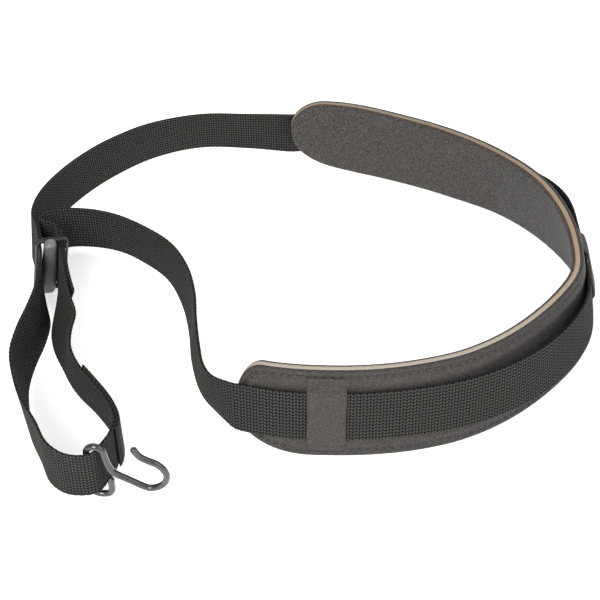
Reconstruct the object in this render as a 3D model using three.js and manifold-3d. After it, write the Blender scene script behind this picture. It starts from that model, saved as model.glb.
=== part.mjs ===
// Saxophone neck strap: a padded leather neck piece carrying a closed loop of webbing, with a
// plastic slide on the two strands and a bent-wire hook hanging in the end of the loop.
// Millimetres, +Z up. The strap stands on edge on a table, at z = 0, opened out into a ring.
import * as THREE from 'three';
import Module from 'manifold-3d';
import { mergeVertices } from 'three/addons/utils/BufferGeometryUtils.js';

const wasm = await Module();
wasm.setup();

// Neck pad
const PAD_WIDTH = 45;
const PAD_CORNERS = {
  far: { upper: { reach: 18, radius: 15.5 }, lower: { reach: 40, radius: 27.5 } },
  near: { upper: { reach: 12, radius: 23 }, lower: { reach: 32, radius: 20 } },
};
const CORE_HALF = 1.3;
const SKIN_GAP = 0.3;
const SKIN = 1.0;
const PAD_FACE = CORE_HALF + SKIN_GAP + SKIN;

// Webbing
const WEB_WIDTH = 25;
const WEB = 1.6;
const CLEAR = 0.3;
const WEB_INNER = PAD_FACE + CLEAR;
const WEB_OUTER = WEB_INNER + WEB;
const WEB_MID = (WEB_INNER + WEB_OUTER) / 2;
const FAR_BOW = { rise: 5, skew: 2.3 };
const NEAR_BOW = { rise: 4.5, skew: 1.4 };
const JOIN_GAP = 0.4;

// The two ends of the webbing, lying outside the right strand: distances along the loop
const OVERLAP_FROM = 193;
const OVERLAP_TO = 238;
const TAIL_FROM = 53;
const TAIL_TO = 5;
const TAIL_FLARE = 1.2;

// Leather keepers that hold the webbing on the pad
const KEEPER_LENGTH = 16;
const KEEPER_LEATHER = 1.2;
const KEEPER_FROM_END = 37.5;
const KEEPER_CENTRE = 197;

// Thread
const THREAD_RADIUS = 0.35;
const SEAM_INSET = 3.2;
const KEEPER_SEAM = 15.6;

// Slide: a bar between the two strands, and a thin frame round both
const SLIDE_AT = [-118, 41];
const SLIDE_HEIGHT = 31;
const SLIDE_LEAN = 4;
const SLIDE_PITCH = 4;
const BAR_HALF = 3.5;
const BAR_DEPTH = 7;
const BAR_FORWARD = 2;
const FRAME_DEPTH = 2.8;
const FRAME_WALL = 1;
const FRAME_LEFT = 6.7;
const FRAME_RIGHT = 8.6;
const BRIDGE = 2;
const STRAND_GAP = 4.6;

// Hook: one round wire bent in one upright plane
const WIRE_RADIUS = 1.4;
const HOOK_AT = [-79.8, -96.6];
const HOOK_TURN = -6;
const HOOK_LEAN = [0, -3.5];

const LEATHER = { color: 0x5c5553, roughness: 0.62, metalness: 0 };
const LINING = { color: 0x6a625e, roughness: 0.7, metalness: 0 };
const CORE = { color: 0xc2a283, roughness: 0.9, metalness: 0 };
const WEBBING = { color: 0x1c1c1e, roughness: 0.85, metalness: 0 };
const THREAD = { color: 0x6f6a66, roughness: 0.8, metalness: 0 };
const PLASTIC = { color: 0x3a3937, roughness: 0.4, metalness: 0 };
const WIRE = { color: 0x0c0c0d, roughness: 0.25, metalness: 0.6 };

// Stations along a band: the middle of the band x, y, z, then how far its upper edge stands
// off its lower edge in x and y.
const PAD_STATIONS = [
  [-4.5, 144.5, 0, -6],
  [10, 145.6, 0, -7.5],
  [27, 143.8, -1.5, -9],
  [51, 133.7, -4, -8.8],
  [76, 119.5, -5, -9],
  [100.1, 100.9, -8.8, -9.4],
  [118.6, 75.4, -11.7, -6.7],
  [128, 47.3, -14.2, -2.9],
  [127.4, 18, -10, 0],
  [122.3, -5.5, -6, 1.5],
  [108.5, -27, -3, 3],
  [88, -48, -1.5, 2.2],
  [68, -61, -0.5, 1.5],
  [49, -67.6, -0.3, 1.2],
  [29.5, -70.8, 0, 0.5],
  [9, -71.3, 0, 0.5],
  [-9, -69.6, 0, 0.8],
  [-26, -65.1, 0, 1],
];

// From the far end of the pad, round the left side and forward to the slide
const FAR_SIDE = [
  [-28, 152, 22.2, 0, -6],
  [-53, 156, 20, 0, -6.5],
  [-78, 149.5, 18, -1, -5.5],
  [-97.5, 135, 16.6, -1.5, -4],
  [-111, 118.5, 16, -1.5, -3],
  [-121.8, 99, 15.6, -1, -1.5],
  [-128, 81, 15.5, 0.5, 0],
  [-129.2, 66, 15.5, 2, 0.5],
];

// From the near end of the pad, back through the ring and round to the slide
const NEAR_SIDE = [
  [-34.5, -61.5, 22.4, -2.5, -4.5],
  [-39.5, -52.6, 21.5, -1, -4.5],
  [-43, -39, 20, 1, -1],
  [-46.1, -20, 18.8, 2.5, -0.5],
  [-48.2, 0.4, 17.6, 3, -1],
  [-52.9, 22.6, 16.4, 3, -2],
  [-61.8, 43.4, 15.4, 2, -3.5],
  [-74.6, 57.5, 15, 1, -4],
  [-88, 67.5, 14.8, 0, -4],
  [-101, 71.8, 14.8, 0, -3.5],
  [-113, 72, 15, -0.5, -3],
  [-121, 68.3, 15.3, -2.5, -1],
  [-123.4, 61, 15.5, -2, 0.3],
];

// From the slide, forward on the left, round through the hook and back on the right
const LOOP_LEFT = [
  [-116.6, 11, 15.2, -3.8, -0.5],
  [-117.4, -4, 14.8, -5, -0.5],
  [-119.7, -20, 14.5, -5, -0.5],
  [-120.2, -36, 14.3, -5, -1],
  [-117.2, -51, 14.2, -4, -1.5],
  [-112.6, -66, 14.2, -2.4, -1.2],
  [-105.4, -80.8, 14.4, -0.8, -1.6],
  [-99.4, -93.8, 14.8, -0.2, -1.6],
  [-92.2, -100.2, 15.2, 0, -2.6],
];
const LOOP_HOOK = [
  [-86.4, -101.6, 15.5, 0, -3.5],
  [-82.5, -101.3, 15.6, 0, -3.5],
  [-79.6, -99.2, 15.6, 0, -3.5],
  [-77.7, -95, 15.6, 0, -3.5],
];
const LOOP_RIGHT = [
  [-75, -88, 15.4, 0, -4],
  [-74, -78, 15.2, 0, -5],
  [-76.6, -69.4, 15, 0, -6],
  [-80.8, -61.5, 14.8, 0, -6],
  [-86.6, -52.8, 14.8, 0, -6],
  [-93.4, -43.4, 14.8, 0.5, -5],
  [-98.4, -33.4, 14.9, 1.5, -3],
  [-101.4, -22, 15, 5.5, -1],
  [-104.2, -9, 15.2, 12, 0],
  [-107.4, 3, 15.4, 10, 0.4],
];

// Hook wire: out along its plane, then height
const HOOK_WIRE = [
  [5.2, 11.9], [5.2, 8], [5, 4.4], [3.9, 2.1], [2, 1.4], [-0.2, 1.4], [-2.1, 2.5], [-3, 5.2],
  [-3.1, 9], [-3.1, 16], [-3.1, 23.5], [-3, 27.6], [-1.6, 29.8], [0.8, 30.4], [3, 28.8],
  [3.8, 25], [4.6, 20.4], [5.9, 16.6], [7.9, 14.3], [11, 12.4], [14.2, 10.4], [17.4, 8.4],
  [20.5, 7.2], [24.1, 8.4], [26.8, 11.4], [27.7, 14.4], [27.7, 16.8], [26.4, 20],
  [24, 22.6], [21, 24.2], [18.2, 26], [16.5, 28.6], [15.4, 31.4],
];

const vector = (x, y, z = 0) => new THREE.Vector3(x, y, z);

// A band's middle line with its frame: along the band, across it (upwards) and out of its face.
class Course {
  constructor(stations, width, side) {
    this.width = width;
    this.side = side;
    this.line = new THREE.CatmullRomCurve3(stations.map((s) => vector(s[0], s[1], s[2])));
    this.line.curveType = 'centripetal';
    this.line.arcLengthDivisions = 1200;
    this.lean = new THREE.CatmullRomCurve3(stations.map((s) => vector(s[3], s[4])));
    this.length = this.line.getLength();
  }

  frame(distance) {
    const u = THREE.MathUtils.clamp(distance / this.length, 0, 1);
    const t = this.line.getUtoTmapping(u);
    const lean = this.lean.getPoint(t);
    const rise = Math.sqrt(this.width ** 2 - lean.lengthSq());
    const across = vector(lean.x, lean.y, rise).normalize();
    const along = this.line.getTangentAt(u);
    const out = vector(0, 0, 0).crossVectors(across, along).multiplyScalar(this.side).normalize();
    return { middle: this.line.getPointAt(u), across, along, out };
  }

  point(distance, across, out) {
    const f = this.frame(distance);
    return f.middle.addScaledVector(f.across, across).addScaledVector(f.out, out);
  }
}

// Joins equal sections, each a ring of points, into one closed body. Its ends are filled from
// the flat outline of the section, which runs anticlockwise. Both faces of a twisted band are
// split along the same diagonal, so layers that lie on each other stay parallel.
function loft(rings, outline) {
  const count = outline.length;
  const points = rings.flat();
  const index = [];
  for (let i = 0; i + 1 < rings.length; i += 1) {
    for (let j = 0; j < count; j += 1) {
      const next = (j + 1) % count;
      const a = i * count + j;
      const b = i * count + next;
      if (outline[next][1] < outline[j][1]) {
        index.push(a, b, a + count, b, b + count, a + count);
      } else {
        index.push(a, b, b + count, a, b + count, a + count);
      }
    }
  }
  const last = (rings.length - 1) * count;
  const contour = outline.map(([x, y]) => new THREE.Vector2(x, y));
  for (const [a, b, c] of THREE.ShapeUtils.triangulateShape(contour, [])) {
    index.push(c, b, a, last + a, last + b, last + c);
  }
  return outward(points, index);
}

// Builds the geometry, turning every face over if the body came out inside out.
function outward(points, index) {
  let volume = 0;
  for (let i = 0; i < index.length; i += 3) {
    const [a, b, c] = [points[index[i]], points[index[i + 1]], points[index[i + 2]]];
    volume += a.dot(vector(0, 0, 0).crossVectors(b, c));
  }
  if (volume < 0) {
    index.reverse();
  }
  const geometry = new THREE.BufferGeometry().setFromPoints(points);
  geometry.setIndex(index);
  geometry.computeVertexNormals();
  return geometry;
}

// Distances along a band, closer together where its corners are rounded. A corner reaches
// along the band from its end.
function spread(from, to, steps, startReach, endReach) {
  const at = [];
  const corner = 8;
  for (let i = 0; i < corner && startReach > 0; i += 1) {
    at.push(from + startReach * (1 - Math.cos((i / corner) * Math.PI / 2)));
  }
  for (let i = 0; i <= steps; i += 1) {
    at.push(THREE.MathUtils.lerp(from + startReach, to - endReach, i / steps));
  }
  for (let i = corner - 1; i >= 0 && endReach > 0; i -= 1) {
    at.push(to - endReach * (1 - Math.cos((i / corner) * Math.PI / 2)));
  }
  return at;
}

// How much narrower a band is, on each edge, at a distance from an end with rounded corners.
function cornerCut(distance, { reach, radius }) {
  if (distance >= reach) {
    return 0;
  }
  return radius * (1 - Math.sqrt(1 - (1 - distance / reach) ** 2));
}

const SQUARE = { upper: { reach: 0, radius: 0 }, lower: { reach: 0, radius: 0 } };

function cornerReach(corners) {
  return Math.max(corners.upper.reach, corners.lower.reach);
}

// A flat band along a course, between two levels out of its face. Each end has its own corners.
function band(course, from, to, options) {
  const { width, inner, outer, steps, start = SQUARE, end = SQUARE, bow = () => 0 } = options;
  const outline = [[-1, -1], [1, -1], [1, 1], [-1, 1]];
  const half = (s, edge) => width / 2 - cornerCut(s - from, start[edge]) - cornerCut(to - s, end[edge]);
  const rings = spread(from, to, steps, cornerReach(start), cornerReach(end)).map((s) => {
    const lift = bow(s);
    const edges = { [-1]: -half(s, 'lower'), 1: half(s, 'upper') };
    return outline.map(([n, v]) => course.point(s, edges[v], (n < 0 ? inner : outer) + lift));
  });
  return loft(rings, outline);
}

// A strip of any cross-section: out of the face, then across the band.
function strip(course, from, to, outline, steps) {
  const rings = [];
  for (let i = 0; i <= steps; i += 1) {
    const s = THREE.MathUtils.lerp(from, to, i / steps);
    rings.push(outline.map(([n, v]) => course.point(s, v, n)));
  }
  return loft(rings, outline);
}

// A round thread or wire's outline.
function circle(radius, sides, turn = 0) {
  const outline = [];
  for (let i = 0; i < sides; i += 1) {
    const a = (i + turn) * 2 * Math.PI / sides;
    outline.push([radius * Math.cos(a), radius * Math.sin(a)]);
  }
  return outline;
}

function mesh(name, geometry, look) {
  const part = new THREE.Mesh(geometry, new THREE.MeshStandardMaterial(look));
  part.name = name;
  return part;
}

function solid(geometry) {
  const bare = geometry.clone();
  bare.deleteAttribute('normal');
  bare.deleteAttribute('uv');
  const merged = mergeVertices(bare, 1e-4);
  return new wasm.Manifold(new wasm.Mesh({
    numProp: 3,
    vertProperties: new Float32Array(merged.getAttribute('position').array),
    triVerts: new Uint32Array(merged.getIndex().array),
  }));
}

function fromSolid(manifold) {
  const out = manifold.getMesh();
  const geometry = new THREE.BufferGeometry();
  geometry.setAttribute('position', new THREE.BufferAttribute(out.vertProperties, 3));
  geometry.setIndex(new THREE.BufferAttribute(out.triVerts, 1));
  geometry.computeVertexNormals();
  return geometry;
}

// The pad stands on the lower edge of its inner face, so its middle height follows from how far
// it leans.
const pad = new Course(PAD_STATIONS.map(([x, y, leanX, leanY]) => {
  const lean = Math.hypot(leanX, leanY);
  const rise = Math.sqrt(PAD_WIDTH ** 2 - lean ** 2);
  return [x, y, rise / 2 + PAD_FACE * lean / PAD_WIDTH, leanX, leanY];
}), PAD_WIDTH, 1);
const KEEPERS = {
  keeper_far: KEEPER_FROM_END,
  keeper_centre: KEEPER_CENTRE,
  keeper_near: pad.length - KEEPER_FROM_END,
};

function padLayers() {
  const shape = {
    width: PAD_WIDTH,
    steps: 60,
    start: PAD_CORNERS.far,
    end: PAD_CORNERS.near,
  };
  const layer = (inner, outer) => band(pad, 0, pad.length, { ...shape, inner, outer });
  return [
    mesh('pad_lining', layer(-PAD_FACE, -PAD_FACE + SKIN), LINING),
    mesh('pad_core', layer(-CORE_HALF, CORE_HALF), CORE),
    mesh('pad_cover', layer(PAD_FACE - SKIN, PAD_FACE), LEATHER),
  ];
}

function padSeams() {
  const outline = circle(THREAD_RADIUS, 6);
  const level = PAD_FACE + CLEAR + THREAD_RADIUS;
  const row = PAD_WIDTH / 2 - SEAM_INSET;
  const seam = (v, edge) => {
    const to = pad.length - PAD_CORNERS.near[edge].reach;
    return strip(pad, PAD_CORNERS.far[edge].reach, to, outline.map(([n, w]) => [n + level, w + v]), 70);
  };
  return [
    mesh('seam_upper', seam(row, 'upper'), THREAD),
    mesh('seam_lower', seam(-row, 'lower'), THREAD),
  ];
}

// A strip of leather over the webbing, with a foot stitched to the cover above and below it.
function keeperOutline() {
  const top = WEB_OUTER + CLEAR + KEEPER_LEATHER;
  const foot = WEB_INNER + KEEPER_LEATHER;
  const half = [
    [WEB_INNER, 13.6],
    [WEB_INNER, 18.4],
    [foot, 18.4],
    [foot, 14.7],
    [top, 13.5],
  ];
  const inner = [WEB_OUTER + CLEAR, 12.9];
  const upper = [inner, ...half];
  const lower = upper.map(([n, v]) => [n, -v]);
  return [...lower, ...upper.reverse()];
}

function keepers() {
  const parts = [];
  const thread = circle(THREAD_RADIUS, 6);
  const level = WEB_INNER + KEEPER_LEATHER + CLEAR + THREAD_RADIUS;
  for (const [name, at] of Object.entries(KEEPERS)) {
    const from = at - KEEPER_LENGTH / 2;
    const to = at + KEEPER_LENGTH / 2;
    parts.push(mesh(name, strip(pad, from, to, keeperOutline(), 6), LEATHER));
    for (const [row, v] of [['upper', KEEPER_SEAM], ['lower', -KEEPER_SEAM]]) {
      const outline = thread.map(([n, w]) => [n + level, w + v]);
      const stitches = strip(pad, from + 1.5, to - 1.5, outline, 6);
      parts.push(mesh(`${name}_seam_${row}`, stitches, THREAD));
    }
  }
  return parts;
}

// Between two keepers the webbing stands off the cover, most towards the centre keeper.
function webbingBow(s) {
  const centre = KEEPERS.keeper_centre;
  const outer = s < centre ? KEEPERS.keeper_far : KEEPERS.keeper_near;
  const { rise, skew } = s < centre ? FAR_BOW : NEAR_BOW;
  const free = Math.abs(centre - outer) - KEEPER_LENGTH * 1.2;
  const share = (Math.abs(s - outer) - KEEPER_LENGTH * 0.6) / free;
  const between = (s - outer) * (s - centre) < 0 && share > 0 && share < 1;
  return between ? rise * Math.sin(share ** skew * Math.PI) ** 2 : 0;
}

function padWebbing() {
  const shape = { width: WEB_WIDTH, inner: WEB_INNER, outer: WEB_OUTER, steps: 34, bow: webbingBow };
  return [
    mesh('webbing_pad_far', band(pad, JOIN_GAP, KEEPER_CENTRE - JOIN_GAP, shape), WEBBING),
    mesh('webbing_pad_near', band(pad, KEEPER_CENTRE + JOIN_GAP, pad.length - JOIN_GAP, shape), WEBBING),
  ];
}

// The slide's own frame: sideways across both strands, and the way it slides along them.
const sideways = vector(0.975, 0.22).normalize();
const slideWay = vector(0.22, -0.975).normalize();
const slideLean = sideways.clone().multiplyScalar(SLIDE_LEAN * WEB_WIDTH / SLIDE_HEIGHT);

function slideStation(out, along) {
  const p = vector(...SLIDE_AT, 15.5);
  p.addScaledVector(sideways, out).addScaledVector(slideWay, along);
  return [p.x, p.y, p.z, slideLean.x, slideLean.y];
}

function padEndStation(distance) {
  const p = pad.point(distance, 0, WEB_MID);
  const q = pad.frame(distance).across.multiplyScalar(WEB_WIDTH);
  return [p.x, p.y, p.z, q.x, q.y];
}

const SPLIT = -16;
const strand = (out, ...along) => along.map((a) => slideStation(out, a));
const leftStrand = strand(-STRAND_GAP, -8, 0, 8);
const rightStrand = strand(STRAND_GAP, 8, 0, -8);

function sideWebbing() {
  const far = new Course([padEndStation(0), ...FAR_SIDE, slideStation(-STRAND_GAP, SPLIT)], WEB_WIDTH, 1);
  const near = new Course([
    padEndStation(pad.length), ...NEAR_SIDE, slideStation(STRAND_GAP, SPLIT),
  ], WEB_WIDTH, 1);
  const shape = { width: WEB_WIDTH, inner: -WEB / 2, outer: WEB / 2 };
  return [
    mesh('webbing_far', band(far, JOIN_GAP, far.length - JOIN_GAP, { ...shape, steps: 44 }), WEBBING),
    mesh('webbing_near', band(near, JOIN_GAP, near.length - JOIN_GAP, { ...shape, steps: 52 }), WEBBING),
  ];
}

const loop = new Course([
  slideStation(-STRAND_GAP, SPLIT),
  ...leftStrand,
  ...LOOP_LEFT,
  ...LOOP_HOOK,
  ...LOOP_RIGHT,
  ...rightStrand,
  slideStation(STRAND_GAP, SPLIT),
], WEB_WIDTH, -1);

function loopWebbing() {
  const shape = { width: WEB_WIDTH, inner: -WEB / 2, outer: WEB / 2 };
  const level = WEB / 2 + CLEAR;
  const overlap = { width: WEB_WIDTH, inner: level, outer: level + WEB, steps: 16 };
  const tail = {
    width: WEB_WIDTH,
    inner: level,
    outer: level + WEB,
    steps: 18,
    start: { upper: { reach: 2, radius: 2 }, lower: { reach: 2, radius: 2 } },
    bow: (s) => TAIL_FLARE * Math.max(0, 1 - (s - loop.length + TAIL_FROM) / 20) ** 2,
  };
  return [
    mesh('webbing_loop', band(loop, JOIN_GAP, loop.length - JOIN_GAP, { ...shape, steps: 110 }), WEBBING),
    mesh('webbing_overlap', band(loop, OVERLAP_FROM, OVERLAP_TO, overlap), WEBBING),
    mesh('webbing_tail', band(loop, loop.length - TAIL_FROM, loop.length - TAIL_TO, tail), WEBBING),
  ];
}
// A plate across the slide, given by its corners sideways and up, and its depth along the way.
function slidePlate(corners, radius, depth) {
  const outline = new THREE.Shape();
  const [[x0, z0], [x1, z1]] = corners;
  outline.moveTo(x0 + radius, z0);
  outline.lineTo(x1 - radius, z0);
  outline.quadraticCurveTo(x1, z0, x1, z0 + radius);
  outline.lineTo(x1, z1 - radius);
  outline.quadraticCurveTo(x1, z1, x1 - radius, z1);
  outline.lineTo(x0 + radius, z1);
  outline.quadraticCurveTo(x0, z1, x0, z1 - radius);
  outline.lineTo(x0, z0 + radius);
  outline.quadraticCurveTo(x0, z0, x0 + radius, z0);
  return new THREE.ExtrudeGeometry(outline, { depth, bevelEnabled: false, curveSegments: 4 });
}

// A slide seen from the front: a stout bar, and a thin frame behind with a slot for each strand.
function slide() {
  const high = SLIDE_HEIGHT - BRIDGE;
  const plate = (corners, radius, depth, back) => {
    return solid(slidePlate(corners, radius, depth)).translate([0, 0, back]);
  };
  const back = BAR_FORWARD - BAR_DEPTH / 2;
  const frame = plate([[-FRAME_LEFT, 0], [FRAME_RIGHT, SLIDE_HEIGHT]], 2.2, FRAME_DEPTH, back);
  const left = plate([[-FRAME_LEFT + FRAME_WALL, BRIDGE], [-BAR_HALF, high]], 0.3, 9, back - 3);
  const right = plate([[BAR_HALF, BRIDGE], [FRAME_RIGHT - FRAME_WALL, high]], 0.3, 9, back - 3);
  const bar = plate([[-BAR_HALF, 0], [BAR_HALF, SLIDE_HEIGHT]], 2.6, BAR_DEPTH, back);
  const body = fromSolid(frame.subtract(left).subtract(right).add(bar));
  const side = SLIDE_LEAN / SLIDE_HEIGHT;
  const forward = SLIDE_PITCH / SLIDE_HEIGHT;
  body.applyMatrix4(new THREE.Matrix4().makeShear(0, 0, side, forward, 0, 0));
  body.translate(-SLIDE_LEAN / 2, 0, -SLIDE_PITCH / 2);
  const place = new THREE.Matrix4().makeBasis(
    sideways,
    vector(0, 0, 1),
    vector(0, 0, 0).crossVectors(sideways, vector(0, 0, 1)),
  );
  place.setPosition(SLIDE_AT[0], SLIDE_AT[1], 0);
  body.applyMatrix4(place);
  return mesh('slide', body, PLASTIC);
}

// The wire's section stays in one plane with its path, so its frame never twists.
function hook() {
  const turn = THREE.MathUtils.degToRad(HOOK_TURN);
  const out = vector(Math.cos(turn), Math.sin(turn));
  const up = vector(...HOOK_LEAN, Math.sqrt(WEB_WIDTH ** 2 - HOOK_LEAN[1] ** 2)).normalize();
  const side = vector(0, 0).crossVectors(up, out).normalize();
  const base = vector(...HOOK_AT);
  const path = new THREE.CatmullRomCurve3(HOOK_WIRE.map(([d, h]) => {
    return base.clone().addScaledVector(out, d).addScaledVector(up, h);
  }));
  path.curveType = 'centripetal';
  path.arcLengthDivisions = 800;
  const outline = circle(1, 8, 0.5);
  const steps = 120;
  const length = path.getLength();
  const rings = [];
  for (let i = 0; i <= steps; i += 1) {
    const s = i / steps * length;
    const fromEnd = Math.min(s, length - s);
    const radius = WIRE_RADIUS * (fromEnd < 1 ? 0.6 + 0.4 * fromEnd : 1);
    const centre = path.getPointAt(i / steps);
    const normal = vector(0, 0, 0).crossVectors(path.getTangentAt(i / steps), side);
    rings.push(outline.map(([a, b]) => centre.clone()
      .addScaledVector(normal, a * radius).addScaledVector(side, b * radius)));
  }
  return mesh('hook', loft(rings, outline), WIRE);
}

const strap = new THREE.Group();
strap.add(...padLayers(), ...padSeams(), ...keepers(), ...padWebbing());
strap.add(...sideWebbing(), ...loopWebbing(), slide(), hook());

// The strap's own frame: the middle of its footprint, on the table.
const bounds = new THREE.Box3().setFromObject(strap);
const footprint = bounds.getCenter(vector(0, 0));
strap.position.set(-footprint.x, -footprint.y, -bounds.min.z);

export default strap;
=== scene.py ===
import math

import bpy
import numpy as np
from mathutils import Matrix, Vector


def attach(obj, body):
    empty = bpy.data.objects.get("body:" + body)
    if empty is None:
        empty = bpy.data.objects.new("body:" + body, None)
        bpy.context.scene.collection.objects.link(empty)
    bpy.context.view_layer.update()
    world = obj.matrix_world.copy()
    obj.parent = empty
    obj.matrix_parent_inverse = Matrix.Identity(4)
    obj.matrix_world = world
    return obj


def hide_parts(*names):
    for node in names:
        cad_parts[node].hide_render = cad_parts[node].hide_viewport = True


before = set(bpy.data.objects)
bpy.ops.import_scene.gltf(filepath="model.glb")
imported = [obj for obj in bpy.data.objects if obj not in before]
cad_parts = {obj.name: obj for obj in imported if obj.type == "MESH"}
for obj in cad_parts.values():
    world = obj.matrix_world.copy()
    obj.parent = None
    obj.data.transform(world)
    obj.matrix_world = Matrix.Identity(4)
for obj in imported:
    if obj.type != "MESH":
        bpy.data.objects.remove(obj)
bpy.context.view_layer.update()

MM = 0.001

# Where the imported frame's origin lies in the drawing frame.
FOOTPRINT = np.array([3.7005, 27.9082, -0.081])

# Neck pad. A corner is (how far along the pad it starts, how far it cuts across), for the upper
# edge (1) and the lower edge (-1).
PAD_WIDTH = 45
FAR_CORNERS = {1: (18, 15.5), -1: (40, 27.5)}
NEAR_CORNERS = {1: (12, 23), -1: (32, 20)}
CORE_HALF = 1.3
SKIN = 1.0
PAD_FACE = 2.6
EDGE_ROLL = 0.9
PAD_STEP = 0.55
END_STEPS = 96
CORE_ROUGHNESS = 0.07
EDGE_FADE = 405

# Webbing. A bow is (how far it stands off the cover, how strongly its crest is drawn to the centre
# keeper).
WEB_WIDTH = 25
WEB_MID = 3.7
FAR_BOW = (5, 2.3)
NEAR_BOW = (4.5, 1.4)
WEB_HALF = 0.48
BUNDLES = 15
CHEVRON = 2.7
CHEVRON_RISE = 0.5
RELIEF = 0.3
SELVEDGE = 0.9
SCALLOP = 0.12
WEAVE_STEP = 0.4
WEAVE_COLUMNS = 64

# The webbing's two ends on the loop. The overlap is measured from the loop's start, the tail from
# its end.
OVERLAP_FROM = 193
OVERLAP_TO = 238
TAIL_FROM = 53
TAIL_TO = 5
TAIL_CORNER = 2.0
TAIL_FLARE = 1.2
FLARE_LENGTH = 20
LAYER = 1.45

# Keepers. A keeper drops at its shoulder, past the webbing's edge, to a foot that is sewn down.
KEEPER_LENGTH = 16
KEEPER_LEATHER = 1.0
KEEPER_PLAY = 0.85
KEEPER_FROM_END = 37.5
KEEPER_CENTRE = 197
KEEPER_SHOULDER = 13.7
KEEPER_FOOT = 18.4
KEEPER_HEM = 0.7
KEEPER_SEAM = 15.6

# Stitches. Each is a low arch between two needle holes, which dent the leather round them.
SEAM_INSET = 3.2
STITCH = 3.4
STITCH_STEPS = 12
STITCH_ARCH = 0.45
DENT_REACH = 1.6
DENT_SPREAD = 0.45
THREAD_RADIUS = 0.28
THREAD_SIDES = 8
KEEPER_THREAD = 0.27
KEEPER_ROW = 5.6
TACK_THREAD = 0.22
TACK_REACH = 1.4
TACK_STEPS = 100
TACK_STROKE = 8

# Slide. The strands pass its middle at STRAND_GAP on either side, and part at SPLIT.
SLIDE_AT = (-118, 41)
SLIDE_MID = 15.5
SLIDE_HEIGHT = 31
SLIDE_LEAN = 4
SLIDE_PITCH = 4
BAR_HALF = 3.5
BAR_DEPTH = 7
BAR_FORWARD = 2
BAR_END = 2.4
BAR_SQUARENESS = 3.0
FRAME_DEPTH = 2.8
FRAME_WALL = 1
FRAME_LEFT = 6.7
FRAME_RIGHT = 8.6
FRAME_CORNER = 2.0
BRIDGE = 2
STRAND_GAP = 4.6
SPLIT = -16

# Hook. Its wire lies in a plane that is turned about the vertical and leans with the webbing.
WIRE_RADIUS = 1.4
WIRE_RINGS = 420
WIRE_SIDES = 28
HOOK_AT = (-79.8, -96.6)
HOOK_TURN = -6
HOOK_LEAN = -3.5

# Camera, lamps and floor. The lamps' places and sizes are in metres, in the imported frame.
CAMERA_AT = (0, -513.5, 412)
CAMERA_PITCH = 37
SENSOR = 36
LENS = 87
LAMPS = {
    "key": {"place": (-0.35, -1.05, 0.75), "size": 0.7, "power": 15},
    "fill": {"place": (0.9, -0.5, 0.6), "size": 0.9, "power": 4},
    "back": {"place": (0.1, 1.0, 0.8), "size": 0.9, "power": 3},
}
SKY = 0.62
FLOOR_GLOW = 0.62
FLOOR_HALF = 3000
FLOOR_GAP = 0.05

# Stations along a band's middle. A pad station has its x and y, a webbing station its x, y and z, and
# both end with how far the upper edge stands off the lower edge in x and y.
PAD_STATIONS = [
    (-4.5, 144.5, 0, -6),
    (10, 145.6, 0, -7.5),
    (27, 143.8, -1.5, -9),
    (51, 133.7, -4, -8.8),
    (76, 119.5, -5, -9),
    (100.1, 100.9, -8.8, -9.4),
    (118.6, 75.4, -11.7, -6.7),
    (128, 47.3, -14.2, -2.9),
    (127.4, 18, -10, 0),
    (122.3, -5.5, -6, 1.5),
    (108.5, -27, -3, 3),
    (88, -48, -1.5, 2.2),
    (68, -61, -0.5, 1.5),
    (49, -67.6, -0.3, 1.2),
    (29.5, -70.8, 0, 0.5),
    (9, -71.3, 0, 0.5),
    (-9, -69.6, 0, 0.8),
    (-26, -65.1, 0, 1),
]
FAR_SIDE = [
    (-28, 152, 22.2, 0, -6),
    (-53, 156, 20, 0, -6.5),
    (-78, 149.5, 18, -1, -5.5),
    (-97.5, 135, 16.6, -1.5, -4),
    (-111, 118.5, 16, -1.5, -3),
    (-121.8, 99, 15.6, -1, -1.5),
    (-128, 81, 15.5, 0.5, 0),
    (-129.2, 66, 15.5, 2, 0.5),
]
NEAR_SIDE = [
    (-34.5, -61.5, 22.4, -2.5, -4.5),
    (-39.5, -52.6, 21.5, -1, -4.5),
    (-43, -39, 20, 1, -1),
    (-46.1, -20, 18.8, 2.5, -0.5),
    (-48.2, 0.4, 17.6, 3, -1),
    (-52.9, 22.6, 16.4, 3, -2),
    (-61.8, 43.4, 15.4, 2, -3.5),
    (-74.6, 57.5, 15, 1, -4),
    (-88, 67.5, 14.8, 0, -4),
    (-101, 71.8, 14.8, 0, -3.5),
    (-113, 72, 15, -0.5, -3),
    (-121, 68.3, 15.3, -2.5, -1),
    (-123.4, 61, 15.5, -2, 0.3),
]
LOOP_LEFT = [
    (-116.6, 11, 15.2, -3.8, -0.5),
    (-117.4, -4, 14.8, -5, -0.5),
    (-119.7, -20, 14.5, -5, -0.5),
    (-120.2, -36, 14.3, -5, -1),
    (-117.2, -51, 14.2, -4, -1.5),
    (-112.6, -66, 14.2, -2.4, -1.2),
    (-105.4, -80.8, 14.4, -0.8, -1.6),
    (-99.4, -93.8, 14.8, -0.2, -1.6),
    (-92.2, -100.2, 15.2, 0, -2.6),
]
LOOP_HOOK = [
    (-86.4, -101.6, 15.5, 0, -3.5),
    (-82.5, -101.3, 15.6, 0, -3.5),
    (-79.6, -99.2, 15.6, 0, -3.5),
    (-77.7, -95, 15.6, 0, -3.5),
]
LOOP_RIGHT = [
    (-75, -88, 15.4, 0, -4),
    (-74, -78, 15.2, 0, -5),
    (-76.6, -69.4, 15, 0, -6),
    (-80.8, -61.5, 14.8, 0, -6),
    (-86.6, -52.8, 14.8, 0, -6),
    (-93.4, -43.4, 14.8, 0.5, -5),
    (-98.4, -33.4, 14.9, 1.5, -3),
    (-101.4, -22, 15, 5.5, -1),
    (-104.2, -9, 15.2, 12, 0),
    (-107.4, 3, 15.4, 10, 0.4),
]

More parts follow.
